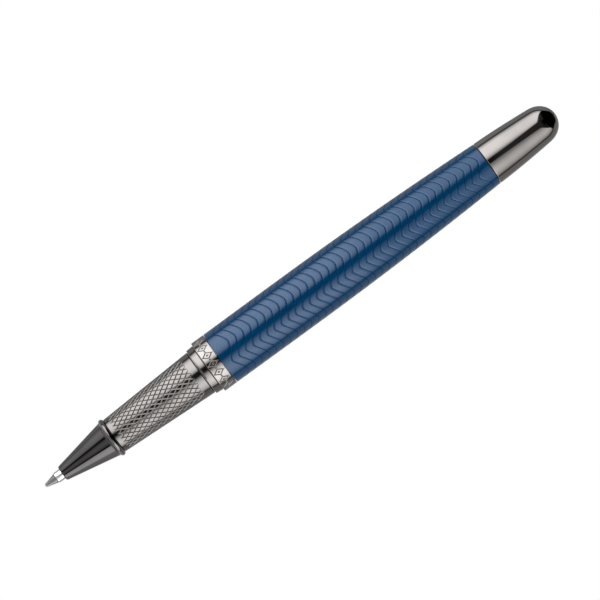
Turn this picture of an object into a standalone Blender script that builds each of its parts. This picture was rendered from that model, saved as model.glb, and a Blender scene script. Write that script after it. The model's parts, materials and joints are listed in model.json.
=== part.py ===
"""A rollerball pen without its cap, standing on its point.

+Z runs along the pen's axis, from the writing ball to the finial, and the origin is the ball's lowest point.
Sizes are in millimetres, and MM turns them into Blender's metres. The radii are worked out from the refill
outwards, and the places from the point backwards, so a change of one size moves what fits to it.
"""

import math

import bmesh
import bpy

MM = 0.001

# Fits: a hairline between pieces that are fixed together, and clearances where one piece moves in another.
SEAT_GAP = 0.05
RUN_GAP = 0.10
THREAD_GAP = 0.10
REFILL_GAP = 0.35

# Refill
BALL_R = 0.35
SOCKET_GAP = 0.025
LIP_Z = 0.20
LIP_WALL = 0.04
POINT_R = 1.04
POINT_LENGTH = 2.77
POINT_SHANK_LENGTH = 3.20
TIP_TUBE_R = 1.18
TIP_TUBE_WALL = 0.26
TIP_TUBE_EDGE = 0.06
TIP_TUBE_INSET = 0.40
INK_CHANNEL_R = 0.15
WICK_R = 0.30
WICK_REACH = 3.00
HOLDER_FRONT_R = 1.60
HOLDER_BODY_R = 2.45
HOLDER_PLUG_LENGTH = 4.40
HOLDER_RELIEF = 0.50
FLANGE_LENGTH = 1.20
RESERVOIR_R = 3.05
RESERVOIR_WALL = 0.25
REFILL_INSET = 1.95
END_PLUG_LENGTH = 5.00
NUB_R = 1.70
NUB_LENGTH = 0.80
NUB_TAPER = 0.20

# Section: nose cone, bead, grip and the threaded connector
SOFT_EDGE = 0.10
TIP_REVEAL = 4.36
NOSE_LENGTH = 11.94
NOSE_FRONT_R = 1.64
NOSE_EDGE_R = 0.35
NOSE_WALL = 0.55
NOSE_FLARE_LENGTH = 0.60
NOSE_FLARE_RISE = 0.14
NOSE_SPIGOT_LENGTH = 6.00
SEAT_INSET = 1.38
BEAD_WIDTH = 1.20
BEAD_RISE = 0.45
GRIP_LENGTH = 22.02
GRIP_WALL = 0.425
GRIP_FLARE = 1.065
LATTICE_STARTS = 25
LATTICE_PITCH = 1.74
LATTICE_DEPTH = 0.13
LATTICE_REAR_MARGIN = 1.72
LATTICE_FRONT_MARGIN = 0.80
CONNECTOR_GAP = 0.20
CONNECTOR_WALL = 0.75
CONNECTOR_ROOT_LENGTH = 9.50
CONNECTOR_CHAMFER = 0.25
O_RING_R = 0.30
O_RING_GROOVE = 0.28

# Thread between the section and the barrel
THREAD_PITCH = 1.00
THREAD_DEPTH = 0.40
THREAD_BASE_WIDTH = 0.62
THREAD_CREST_WIDTH = 0.24
THREAD_TURNS = 4.8
THREAD_LEAD_IN = 1.15
THREAD_RUN_OUT = 0.60
THREAD_SUNK = 0.10

# Barrel: collar, band, bush, tube, tail bush and finial
SHADOW_GAP = 0.12
COLLAR_LENGTH = 1.64
COLLAR_WALL = 0.45
COLLAR_TAPER = 0.11
NECK_WALL = 0.45
BAND_LENGTH = 3.02
BAND_WALL = 0.78
BAND_CHAMFER = 0.12
BAND_RECESS = 0.15
BUSH_WALL = 0.65
BUSH_LENGTH = 10.50
BUSH_CHAMFER = 0.20
BARREL_LENGTH = 67.90
BARREL_WALL = 0.75
BARREL_SWELL = 0.04
BARREL_SWELL_LENGTH = 20.0
BARREL_TAPER = 1.15
TAIL_BUSH_LENGTH = 12.50
TAIL_BUSH_GAP = 0.15
TAIL_SPIGOT_WALL = 0.75
TAIL_END_WALL = 1.40
TAIL_MOUTH_TAPER = 0.40
FINIAL_LENGTH = 17.30
FINIAL_DOME_LENGTH = 4.45
FINIAL_TAPER = 0.76
FINIAL_PROUD = 0.02

# Cushion spring
SPRING_LENGTH = 5.40
SPRING_WIRE_R = 0.25
SPRING_TURNS = 5
SPRING_R = 2.35
WASHER_LENGTH = 0.50
WASHER_BORE_R = 1.20

# Facets round a full turn
OUTER_STEPS = 36
INNER_STEPS = 24
FINE_STEPS = 18
WICK_STEPS = 12

# Places along the axis, from the point backwards
POINT_END_Z = POINT_LENGTH + POINT_SHANK_LENGTH
TIP_TUBE_Z = POINT_LENGTH + 2 * SEAT_GAP
NOSE_Z = TIP_REVEAL
NOSE_END_Z = NOSE_Z + NOSE_LENGTH
SEAT_Z = NOSE_END_Z - SEAT_INSET
SHOULDER_Z = SEAT_Z + SEAT_GAP
NOSE_SPIGOT_END_Z = NOSE_END_Z + NOSE_SPIGOT_LENGTH
BEAD_Z = NOSE_END_Z + SEAT_GAP
GRIP_Z = BEAD_Z + BEAD_WIDTH + SEAT_GAP
GRIP_END_Z = GRIP_Z + GRIP_LENGTH
CONNECTOR_Z = GRIP_END_Z - CONNECTOR_ROOT_LENGTH
COLLAR_Z = GRIP_END_Z + SHADOW_GAP
COLLAR_END_Z = COLLAR_Z + COLLAR_LENGTH
BAND_Z = COLLAR_END_Z + SEAT_GAP
THREAD_Z = BAND_Z + THREAD_LEAD_IN
CONNECTOR_END_Z = THREAD_Z + (THREAD_TURNS + THREAD_RUN_OUT) * THREAD_PITCH
BARREL_Z = BAND_Z + BAND_LENGTH + SEAT_GAP
BARREL_END_Z = BARREL_Z + BARREL_LENGTH
FINIAL_Z = BARREL_END_Z + SEAT_GAP
REFILL_END_Z = BARREL_END_Z - REFILL_INSET
FLANGE_Z = NOSE_SPIGOT_END_Z + RUN_GAP
RESERVOIR_Z = FLANGE_Z + FLANGE_LENGTH + SEAT_GAP
HOLDER_END_Z = RESERVOIR_Z + HOLDER_PLUG_LENGTH
END_PLUG_Z = REFILL_END_Z - END_PLUG_LENGTH
SPRING_Z = REFILL_END_Z + SEAT_GAP
WASHER_Z = SPRING_Z + SPRING_LENGTH + SEAT_GAP
TAIL_SEAT_Z = WASHER_Z + WASHER_LENGTH + SEAT_GAP
TAIL_END_Z = TAIL_SEAT_Z + TAIL_END_WALL
TAIL_BUSH_Z = BARREL_END_Z - TAIL_BUSH_LENGTH

# Radii, from the refill outwards
POINT_SHANK_R = TIP_TUBE_R - TIP_TUBE_WALL - SEAT_GAP
WICK_CHANNEL_R = WICK_R + SEAT_GAP
PLUG_R = RESERVOIR_R - RESERVOIR_WALL - SEAT_GAP
GRIP_BORE_R = RESERVOIR_R + REFILL_GAP
GRIP_FRONT_R = GRIP_BORE_R + GRIP_WALL + LATTICE_DEPTH
GRIP_REAR_R = GRIP_FRONT_R + GRIP_FLARE
NOSE_END_R = GRIP_FRONT_R
CORE_R = RESERVOIR_R + CONNECTOR_GAP + CONNECTOR_WALL
THREAD_ROOT_R = CORE_R + THREAD_DEPTH + THREAD_GAP
NECK_R = THREAD_ROOT_R + NECK_WALL
BUSH_R = THREAD_ROOT_R + BUSH_WALL
COLLAR_BORE_R = NECK_R + SEAT_GAP
COLLAR_R = COLLAR_BORE_R + COLLAR_WALL
BAND_BORE_R = BUSH_R + SEAT_GAP
BAND_R = BAND_BORE_R + BAND_WALL
BARREL_FRONT_R = BAND_BORE_R + BARREL_WALL
TAIL_BORE_R = RESERVOIR_R + TAIL_BUSH_GAP
TAIL_SPIGOT_R = TAIL_BORE_R + TAIL_SPIGOT_WALL


def start_scene():
    for old in list(bpy.data.objects):
        bpy.data.objects.remove(old)
    made = []
    for name in ("rollerball_pen", "rollerball_pen_cutters"):
        collection = bpy.data.collections.new(name)
        bpy.context.scene.collection.children.link(collection)
        made.append(collection)
    return made


PEN, CUTTERS = start_scene()


def material(name, colour, roughness, metallic):
    made = bpy.data.materials.new(name)
    made.use_nodes = True
    shader = made.node_tree.nodes["Principled BSDF"]
    shader.inputs["Base Color"].default_value = (*colour, 1.0)
    shader.inputs["Roughness"].default_value = roughness
    shader.inputs["Metallic"].default_value = metallic
    made.diffuse_color = (*colour, 1.0)
    return made


GUNMETAL = material("gunmetal", (0.16, 0.155, 0.15), 0.12, 1.0)
DARK_GUNMETAL = material("dark_gunmetal", (0.10, 0.10, 0.10), 0.18, 1.0)
BRIGHT_STEEL = material("bright_steel", (0.62, 0.62, 0.61), 0.16, 1.0)
POINT_METAL = material("point_metal", (0.38, 0.37, 0.36), 0.25, 1.0)
BRASS = material("brass", (0.70, 0.52, 0.24), 0.30, 1.0)
BLUE_LACQUER = material("blue_lacquer", (0.02, 0.09, 0.24), 0.12, 0.2)
BLACK_RUBBER = material("black_rubber", (0.02, 0.02, 0.02), 0.65, 0.0)
BLACK_PLASTIC = material("black_plastic", (0.03, 0.03, 0.03), 0.45, 0.0)
GREY_PLASTIC = material("grey_plastic", (0.30, 0.30, 0.31), 0.40, 0.0)
FIBRE = material("fibre", (0.80, 0.79, 0.75), 0.90, 0.0)


def add_mesh(name, mesh, surface, collection=PEN):
    made = bpy.data.objects.new(name, mesh)
    collection.objects.link(made)
    mesh.materials.clear()
    mesh.materials.append(surface)
    return made


def settle(piece, sharp_degrees=35):
    """Turns a piece's modifiers into its mesh, and shades it smooth except at its edges."""
    graph = bpy.context.evaluated_depsgraph_get()
    mesh = bpy.data.meshes.new_from_object(piece.evaluated_get(graph))
    piece.modifiers.clear()
    piece.data = mesh
    mesh.shade_smooth()
    mesh.set_sharp_from_angle(angle=math.radians(sharp_degrees))
    return piece


def turned(name, outline, surface, steps=OUTER_STEPS, collection=PEN):
    """A turned piece. Its outline of (radius, z) runs down the outer side and, on a hollow piece, up the bore."""
    count = len(outline)
    edges = [(i, i + 1) for i in range(count - 1)]
    if outline[0][0] > 0:
        edges.append((count - 1, 0))
    mesh = bpy.data.meshes.new(name)
    mesh.from_pydata([(r * MM, 0, z * MM) for r, z in outline], edges, [])
    piece = add_mesh(name, mesh, surface, collection)
    screw = piece.modifiers.new("turn", "SCREW")
    screw.axis = "Z"
    screw.angle = 2 * math.pi
    screw.steps = steps
    screw.render_steps = steps
    screw.use_merge_vertices = True
    screw.merge_threshold = 1e-6
    return settle(piece)


def arc(centre_r, centre_z, radius, start, end, parts, radius_z=None):
    """Points (radius, z) along an arc, at angles in degrees from +r towards +z."""
    angles = [math.radians(start + (end - start) * i / parts) for i in range(parts + 1)]
    tall = radius if radius_z is None else radius_z
    return [(centre_r + radius * math.cos(a), centre_z + tall * math.sin(a)) for a in angles]


def spaced(start, end, parts):
    return [start + (end - start) * i / parts for i in range(parts + 1)]


def joined(piece, other, operation):
    """A Boolean of two pieces, the second of which stays hidden among the cutters."""
    other.hide_render = True
    other.display_type = "WIRE"
    cut = piece.modifiers.new("join", "BOOLEAN")
    cut.operation = operation
    cut.object = other
    return settle(piece)


def mount_empty(name, parent=None):
    """An empty on the pen's axis that carries the pieces which move together."""
    made = bpy.data.objects.new(name, None)
    made.empty_display_size = 5 * MM
    PEN.objects.link(made)
    made.parent = parent
    return made


def nose_radius(z):
    return NOSE_FRONT_R + (NOSE_END_R - NOSE_FRONT_R) * (z - NOSE_Z) / NOSE_LENGTH


def grip_radius(z):
    return GRIP_FRONT_R + GRIP_FLARE * (z - GRIP_Z) / GRIP_LENGTH


def barrel_radius(z):
    """The barrel swells a little behind the band, then tapers along a parabola to the finial."""
    crest = BARREL_Z + BARREL_SWELL_LENGTH
    widest = BARREL_FRONT_R + BARREL_SWELL
    if z < crest:
        return widest - BARREL_SWELL * ((crest - z) / BARREL_SWELL_LENGTH) ** 2
    return widest - BARREL_TAPER * ((z - crest) / (BARREL_END_Z - crest)) ** 2


def finial_radius(z):
    """A slow taper that closes in a rounded dome."""
    shank = FINIAL_LENGTH - FINIAL_DOME_LENGTH
    along = max(z - FINIAL_Z, 0.0)
    seam = barrel_radius(BARREL_END_Z) + FINIAL_PROUD
    taper = seam - FINIAL_TAPER * (along / shank) ** 1.5
    into_dome = min(max(along - shank, 0.0) / FINIAL_DOME_LENGTH, 1.0)
    return taper * math.sqrt(max(1.0 - into_dome**2.5, 0.0))


def ball():
    build = bmesh.new()
    bmesh.ops.create_uvsphere(build, u_segments=FINE_STEPS, v_segments=8, radius=BALL_R * MM)
    mesh = bpy.data.meshes.new("ball")
    build.to_mesh(mesh)
    build.free()
    piece = add_mesh("ball", mesh, BRIGHT_STEEL)
    piece.location.z = BALL_R * MM
    mesh.shade_smooth()
    return piece


def wick_front_z():
    return 5 * BALL_R


def writing_point():
    """The cone whose rolled lip holds the ball, with the ink channel behind it and a shank in the tube."""
    socket_r = BALL_R + SOCKET_GAP
    lip = math.degrees(math.asin((LIP_Z - BALL_R) / socket_r))
    back = math.degrees(math.acos(INK_CHANNEL_R / socket_r))
    socket = arc(0, BALL_R, socket_r, lip, back, 5)
    lip_r = socket[0][0] + LIP_WALL
    outline = [
        (POINT_SHANK_R, POINT_END_Z),
        (POINT_SHANK_R, POINT_LENGTH + SEAT_GAP),
        (POINT_R, POINT_LENGTH),
        (lip_r + LIP_WALL, BALL_R),
        (lip_r, LIP_Z),
        *socket,
        (INK_CHANNEL_R, wick_front_z() - 2 * WICK_R),
        (WICK_CHANNEL_R, wick_front_z() - WICK_R),
        (WICK_CHANNEL_R, POINT_END_Z),
    ]
    return turned("writing_point", outline, POINT_METAL, FINE_STEPS)


def tip_tube():
    bore = TIP_TUBE_R - TIP_TUBE_WALL
    end = SHOULDER_Z - TIP_TUBE_INSET
    outline = [
        (TIP_TUBE_R, end),
        (TIP_TUBE_R, TIP_TUBE_Z + 2 * TIP_TUBE_EDGE),
        (TIP_TUBE_R - TIP_TUBE_EDGE, TIP_TUBE_Z),
        (bore, TIP_TUBE_Z),
        (bore, end),
    ]
    return turned("tip_tube", outline, BRIGHT_STEEL, FINE_STEPS)


def holder_front_z():
    """Where the nose cone is thick enough for the holder's bore."""
    slope = (NOSE_END_R - NOSE_FRONT_R) / NOSE_LENGTH
    return NOSE_Z + (HOLDER_FRONT_R + RUN_GAP + NOSE_WALL - NOSE_FRONT_R) / slope


def tip_holder():
    """The refill's plastic nose: its shoulder seats in the nose cone, and its plug closes the reservoir."""
    front = holder_front_z() + HOLDER_RELIEF
    tube_bore = TIP_TUBE_R + SEAT_GAP
    tube_end = SHOULDER_Z - TIP_TUBE_INSET + SEAT_GAP
    outline = [
        (PLUG_R, HOLDER_END_Z),
        (PLUG_R, RESERVOIR_Z - SEAT_GAP),
        (RESERVOIR_R, RESERVOIR_Z - SEAT_GAP),
        (RESERVOIR_R, FLANGE_Z),
        (HOLDER_BODY_R, FLANGE_Z),
        (HOLDER_BODY_R, SHOULDER_Z),
        (HOLDER_FRONT_R, SHOULDER_Z),
        (HOLDER_FRONT_R, front),
        (tube_bore, front),
        (tube_bore, tube_end),
        (WICK_CHANNEL_R, tube_end),
        (WICK_CHANNEL_R, HOLDER_END_Z),
    ]
    return turned("tip_holder", outline, BLACK_PLASTIC, INNER_STEPS)


def ink_wick():
    front = wick_front_z()
    end = HOLDER_END_Z + WICK_REACH
    return turned("ink_wick", [(0, end), (WICK_R, end), (WICK_R, front), (0, front)], FIBRE, WICK_STEPS)


def ink_reservoir():
    bore = RESERVOIR_R - RESERVOIR_WALL
    end = REFILL_END_Z - FLANGE_LENGTH - SEAT_GAP
    outline = [(RESERVOIR_R, end), (RESERVOIR_R, RESERVOIR_Z), (bore, RESERVOIR_Z), (bore, end)]
    return turned("ink_reservoir", outline, GREY_PLASTIC, INNER_STEPS)


def ink_filler():
    """The fibre core, bored at its front for the wick."""
    front = HOLDER_END_Z + SEAT_GAP
    end = END_PLUG_Z - SEAT_GAP
    bore_end = HOLDER_END_Z + WICK_REACH + SEAT_GAP
    outline = [
        (0, end),
        (PLUG_R, end),
        (PLUG_R, front),
        (WICK_CHANNEL_R, front),
        (WICK_CHANNEL_R, bore_end),
        (0, bore_end),
    ]
    return turned("ink_filler", outline, FIBRE, FINE_STEPS)


def refill_plug():
    """The end plug, with a nub that centres the cushion spring."""
    flange = REFILL_END_Z - FLANGE_LENGTH
    outline = [
        (0, REFILL_END_Z + NUB_LENGTH),
        (NUB_R - NUB_TAPER, REFILL_END_Z + NUB_LENGTH),
        (NUB_R, REFILL_END_Z),
        (RESERVOIR_R, REFILL_END_Z),
        (RESERVOIR_R, flange),
        (PLUG_R, flange),
        (PLUG_R, END_PLUG_Z),
        (0, END_PLUG_Z),
    ]
    return turned("refill_plug", outline, BLACK_PLASTIC, INNER_STEPS)


def nose_cone():
    """A straight cone with a rounded front edge, a flare up to the bead, the refill's seat and a spigot."""
    edge_z = NOSE_Z + NOSE_EDGE_R
    edge = arc(nose_radius(edge_z) - NOSE_EDGE_R, edge_z, NOSE_EDGE_R, -11, -90, 4)
    tip_bore = TIP_TUBE_R + RUN_GAP
    holder_bore = HOLDER_FRONT_R + RUN_GAP
    body_bore = HOLDER_BODY_R + RUN_GAP
    spigot_r = GRIP_BORE_R - SEAT_GAP
    step_z = holder_front_z()
    flare_z = NOSE_END_Z - NOSE_FLARE_LENGTH
    flare_middle_z = NOSE_END_Z - NOSE_FLARE_LENGTH / 2
    outline = [
        (spigot_r, NOSE_SPIGOT_END_Z),
        (spigot_r, NOSE_END_Z),
        (NOSE_END_R + NOSE_FLARE_RISE, NOSE_END_Z),
        (nose_radius(flare_middle_z) + NOSE_FLARE_RISE / 4, flare_middle_z),
        (nose_radius(flare_z), flare_z),
        *edge,
        (tip_bore, NOSE_Z),
        (tip_bore, step_z - HOLDER_RELIEF),
        (holder_bore, step_z),
        (holder_bore, SEAT_Z),
        (body_bore, SEAT_Z),
        (body_bore, NOSE_SPIGOT_END_Z),
    ]
    return turned("nose_cone", outline, DARK_GUNMETAL)


def nose_ring():
    """The half-round bead, clamped between the nose cone and the grip."""
    half = BEAD_WIDTH / 2
    sunk = GRIP_FRONT_R - SOFT_EDGE
    outline = [
        *arc(sunk, BEAD_Z + half, BEAD_RISE + SOFT_EDGE, 90, -90, 6, half),
        (GRIP_BORE_R, BEAD_Z),
        (GRIP_BORE_R, BEAD_Z + BEAD_WIDTH),
    ]
    return turned("nose_ring", outline, GUNMETAL)


def grip_sleeve():
    """A tapered sleeve. Two crossing sets of helical grooves cut its outside into a lattice of diamonds."""
    columns = 2 * LATTICE_STARTS
    room = GRIP_LENGTH - LATTICE_FRONT_MARGIN - LATTICE_REAR_MARGIN
    rows = 2 * int(room / LATTICE_PITCH)
    first = GRIP_Z + LATTICE_FRONT_MARGIN + (room - rows * LATTICE_PITCH / 2) / 2
    front_edge_z = GRIP_Z + SOFT_EDGE
    rear_edge_z = GRIP_END_Z - SOFT_EDGE
    rings = [(GRIP_Z, GRIP_FRONT_R - SOFT_EDGE, None), (front_edge_z, grip_radius(front_edge_z), None)]
    for row in range(rows + 1):
        z = first + row * LATTICE_PITCH / 2
        cut = row if 0 < row < rows else None
        rings.append((z, grip_radius(z), cut))
    step_z = CONNECTOR_Z - RUN_GAP
    rings += [
        (rear_edge_z, grip_radius(rear_edge_z), None),
        (GRIP_END_Z, GRIP_REAR_R - SOFT_EDGE, None),
        (GRIP_END_Z, CORE_R + SEAT_GAP, None),
        (step_z, CORE_R + SEAT_GAP, None),
        (step_z, GRIP_BORE_R, None),
        (GRIP_Z, GRIP_BORE_R, None),
    ]
    build = bmesh.new()
    made = []
    for z, radius, cut in rings:
        ring = []
        for column in range(columns):
            deep = LATTICE_DEPTH if cut is not None and (cut + column) % 2 == 0 else 0.0
            turn = 2 * math.pi * column / columns
            place = ((radius - deep) * math.cos(turn), (radius - deep) * math.sin(turn), z)
            ring.append(build.verts.new([value * MM for value in place]))
        made.append(ring)
    lattice_start = 2
    for index, ring in enumerate(made):
        above = made[(index + 1) % len(made)]
        row = index - lattice_start
        for column in range(columns):
            after = (column + 1) % columns
            corners = (ring[column], ring[after], above[after], above[column])
            if not 0 <= row < rows:
                build.faces.new(corners)
                continue
            if (row + column) % 2:
                corners = corners[1:] + corners[:1]
            build.faces.new(corners[:3])
            build.faces.new((corners[2], corners[3], corners[0]))
    bmesh.ops.recalc_face_normals(build, faces=build.faces)
    mesh = bpy.data.meshes.new("grip_sleeve")
    build.to_mesh(mesh)
    build.free()
    mesh.shade_smooth()
    mesh.set_sharp_from_angle(angle=math.radians(8))
    return add_mesh("grip_sleeve", mesh, GUNMETAL)


def thread_ridge(name, base_r, crest_r, start_z, surface):
    """One helical ridge. It grows out of its wall over the first and last quarter turn."""
    sunk = THREAD_SUNK if base_r < crest_r else -THREAD_SUNK
    count = int(THREAD_TURNS * FINE_STEPS)
    build = bmesh.new()
    stations = []
    for index in range(count + 1):
        turn = 2 * math.pi * index / FINE_STEPS
        grown = min(1.0, (index + 1) * 4 / FINE_STEPS, (count - index + 1) * 4 / FINE_STEPS)
        crest = base_r + (crest_r - base_r) * grown
        middle = start_z + THREAD_PITCH * index / FINE_STEPS
        section = (
            (base_r - sunk, middle - THREAD_BASE_WIDTH / 2),
            (base_r, middle - THREAD_BASE_WIDTH / 2),
            (crest, middle - THREAD_CREST_WIDTH / 2),
            (crest, middle + THREAD_CREST_WIDTH / 2),
            (base_r, middle + THREAD_BASE_WIDTH / 2),
            (base_r - sunk, middle + THREAD_BASE_WIDTH / 2),
        )
        places = [(r * math.cos(turn) * MM, r * math.sin(turn) * MM, z * MM) for r, z in section]
        stations.append([build.verts.new(place) for place in places])
    for near, far in zip(stations, stations[1:]):
        for side in range(len(near)):
            after = (side + 1) % len(near)
            build.faces.new((near[side], near[after], far[after], far[side]))
    build.faces.new(stations[0])
    build.faces.new(stations[-1])
    bmesh.ops.recalc_face_normals(build, faces=build.faces)
    mesh = bpy.data.meshes.new(name)
    build.to_mesh(mesh)
    build.free()
    return add_mesh(name, mesh, surface, CUTTERS)


def o_ring_z():
    return GRIP_END_Z + 3 * O_RING_R


def section_connector():
    """The threaded tube that is fixed in the grip, with a groove for the O-ring at its root."""
    bore = RESERVOIR_R + CONNECTOR_GAP
    groove_r = CORE_R - O_RING_GROOVE
    groove = O_RING_R + SEAT_GAP
    outline = [
        (CORE_R - CONNECTOR_CHAMFER, CONNECTOR_END_Z),
        (CORE_R, CONNECTOR_END_Z - CONNECTOR_CHAMFER),
        (CORE_R, o_ring_z() + groove),
        (groove_r, o_ring_z() + groove),
        (groove_r, o_ring_z() - groove),
        (CORE_R, o_ring_z() - groove),
        (CORE_R, CONNECTOR_Z),
        (bore, CONNECTOR_Z),
        (bore, CONNECTOR_END_Z),
    ]
    piece = turned("section_connector", outline, BRASS)
    ridge = thread_ridge("connector_thread", CORE_R, CORE_R + THREAD_DEPTH, THREAD_Z, BRASS)
    return joined(piece, ridge, "UNION")


def joint_o_ring():
    major = CORE_R - O_RING_GROOVE + SEAT_GAP + O_RING_R
    return turned("joint_o_ring", arc(major, o_ring_z(), O_RING_R, 0, -315, 7), BLACK_RUBBER, INNER_STEPS)


def collar_ring():
    """The slim ring on the bush's neck: slightly conical, with softened edges."""
    front_r = COLLAR_R - COLLAR_TAPER
    outline = [
        (COLLAR_R - SOFT_EDGE, COLLAR_END_Z),
        (COLLAR_R, COLLAR_END_Z - SOFT_EDGE),
        (front_r, COLLAR_Z + SOFT_EDGE),
        (front_r - SOFT_EDGE, COLLAR_Z),
        (COLLAR_BORE_R, COLLAR_Z),
        (COLLAR_BORE_R, COLLAR_END_Z),
    ]
    return turned("collar_ring", outline, GUNMETAL)


def trim_band():
    """The wide band. Its front face stops a cap, and is relieved where the collar covers it."""
    end = BAND_Z + BAND_LENGTH
    outline = [
        (BAND_R - BAND_CHAMFER, end),
        (BAND_R, end - BAND_CHAMFER),
        (BAND_R, BAND_Z + BAND_CHAMFER),
        (BAND_R - BAND_CHAMFER, BAND_Z),
        (COLLAR_R + SEAT_GAP, BAND_Z),
        (COLLAR_R + SEAT_GAP, BAND_Z + BAND_RECESS),
        (BAND_BORE_R, BAND_Z + BAND_RECESS),
        (BAND_BORE_R, end),
    ]
    return turned("trim_band", outline, GUNMETAL)


def barrel_bush():
    """The threaded bush in the barrel's mouth. The collar sits on its neck, the band and tube on its body."""
    end = BAND_Z + BUSH_LENGTH
    outline = [
        (BUSH_R - BUSH_CHAMFER, end),
        (BUSH_R, end - BUSH_CHAMFER),
        (BUSH_R, BAND_Z),
        (NECK_R, BAND_Z),
        (NECK_R, GRIP_END_Z + SEAT_GAP),
        (THREAD_ROOT_R, GRIP_END_Z + SEAT_GAP),
        (THREAD_ROOT_R, end),
    ]
    piece = turned("barrel_bush", outline, DARK_GUNMETAL)
    start = THREAD_Z - THREAD_PITCH / 2
    ridge = thread_ridge("bush_thread", THREAD_ROOT_R, THREAD_ROOT_R - THREAD_DEPTH, start, DARK_GUNMETAL)
    return joined(piece, ridge, "UNION")


def barrel_tube():
    heights = spaced(BARREL_END_Z, BARREL_Z, 7)
    outer = [(barrel_radius(z), z) for z in heights]
    inner = [(barrel_radius(z) - BARREL_WALL, z) for z in reversed(heights)]
    return turned("barrel_tube", outer + inner, BLUE_LACQUER)


def tail_bush():
    """A cup that fills the barrel's tail, guides the refill's end and carries the finial on its spigot."""
    heights = spaced(BARREL_END_Z, TAIL_BUSH_Z, 3)
    outer = [(barrel_radius(z) - BARREL_WALL - SEAT_GAP, z) for z in heights]
    outline = [
        (0, TAIL_END_Z),
        (TAIL_SPIGOT_R, TAIL_END_Z),
        (TAIL_SPIGOT_R, BARREL_END_Z),
        *outer,
        (TAIL_BORE_R + TAIL_MOUTH_TAPER, TAIL_BUSH_Z),
        (TAIL_BORE_R, TAIL_BUSH_Z + 2 * TAIL_MOUTH_TAPER),
        (TAIL_BORE_R, TAIL_SEAT_Z),
        (0, TAIL_SEAT_Z),
    ]
    return turned("tail_bush", outline, BLACK_PLASTIC, INNER_STEPS)


def finial():
    """The bullet-shaped tail end, screwed on the tail bush's spigot."""
    shank_end = FINIAL_Z + FINIAL_LENGTH - FINIAL_DOME_LENGTH
    dome = [shank_end + FINIAL_DOME_LENGTH * math.sin(math.radians(a)) for a in (90, 76, 62, 48, 34, 18)]
    heights = dome + spaced(shank_end, FINIAL_Z + SOFT_EDGE, 5)
    bore = TAIL_SPIGOT_R + SEAT_GAP
    bore_end = TAIL_END_Z + SEAT_GAP
    outline = [
        *[(finial_radius(z), z) for z in heights],
        (finial_radius(FINIAL_Z) - SOFT_EDGE, FINIAL_Z),
        (bore, FINIAL_Z),
        (bore, bore_end),
        (0, bore_end),
    ]
    outline[0] = (0, FINIAL_Z + FINIAL_LENGTH)
    return turned("finial", outline, GUNMETAL)


def tail_spring():
    """The cushion spring, an open coil between the refill's end plug and the slip washer."""
    steps = 10
    count = SPRING_TURNS * steps
    low = SPRING_Z + SPRING_WIRE_R
    rise = (SPRING_LENGTH - 2 * SPRING_WIRE_R) / count
    curve = bpy.data.curves.new("tail_spring", "CURVE")
    curve.dimensions = "3D"
    curve.bevel_depth = SPRING_WIRE_R * MM
    curve.bevel_resolution = 2
    curve.use_fill_caps = True
    spline = curve.splines.new("POLY")
    spline.points.add(count)
    for index, point in enumerate(spline.points):
        turn = 2 * math.pi * index / steps
        place = (SPRING_R * math.cos(turn), SPRING_R * math.sin(turn), low + rise * index)
        point.co = (*[value * MM for value in place], 1.0)
    piece = bpy.data.objects.new("tail_spring", curve)
    curve.materials.append(BRIGHT_STEEL)
    PEN.objects.link(piece)
    return piece


def tail_washer():
    outer = TAIL_BORE_R - RUN_GAP
    end = WASHER_Z + WASHER_LENGTH
    outline = [(outer, end), (outer, WASHER_Z), (WASHER_BORE_R, WASHER_Z), (WASHER_BORE_R, end)]
    return turned("tail_washer", outline, BRIGHT_STEEL, INNER_STEPS)


def build_pen():
    section = mount_empty("section")
    for piece in (nose_cone(), nose_ring(), grip_sleeve(), section_connector(), joint_o_ring()):
        piece.parent = section
    refill = mount_empty("refill", section)
    refill_pieces = (
        writing_point(),
        tip_tube(),
        tip_holder(),
        ink_wick(),
        ink_reservoir(),
        ink_filler(),
        refill_plug(),
        ball(),
    )
    for piece in refill_pieces:
        piece.parent = refill
    travel = mount_empty("barrel_travel", section)
    for piece in (tail_washer(), tail_spring()):
        piece.parent = travel
    turn = mount_empty("barrel_turn", travel)
    barrel_pieces = (collar_ring(), trim_band(), barrel_bush(), barrel_tube(), tail_bush(), finial())
    for piece in barrel_pieces:
        piece.parent = turn


build_pen()
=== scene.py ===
"""The rollerball pen's looks: its turned and engraved outer pieces, their metals and lacquer, and the studio.

Lengths are in millimetres unless a name or comment says otherwise, and MM turns them into the frame's metres.
Angles are in degrees unless a comment says otherwise. Places along the pen's axis come from the CAD nodes' boxes,
and +Z runs from the writing ball to the finial.
"""

import functools
import json
import math

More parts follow.
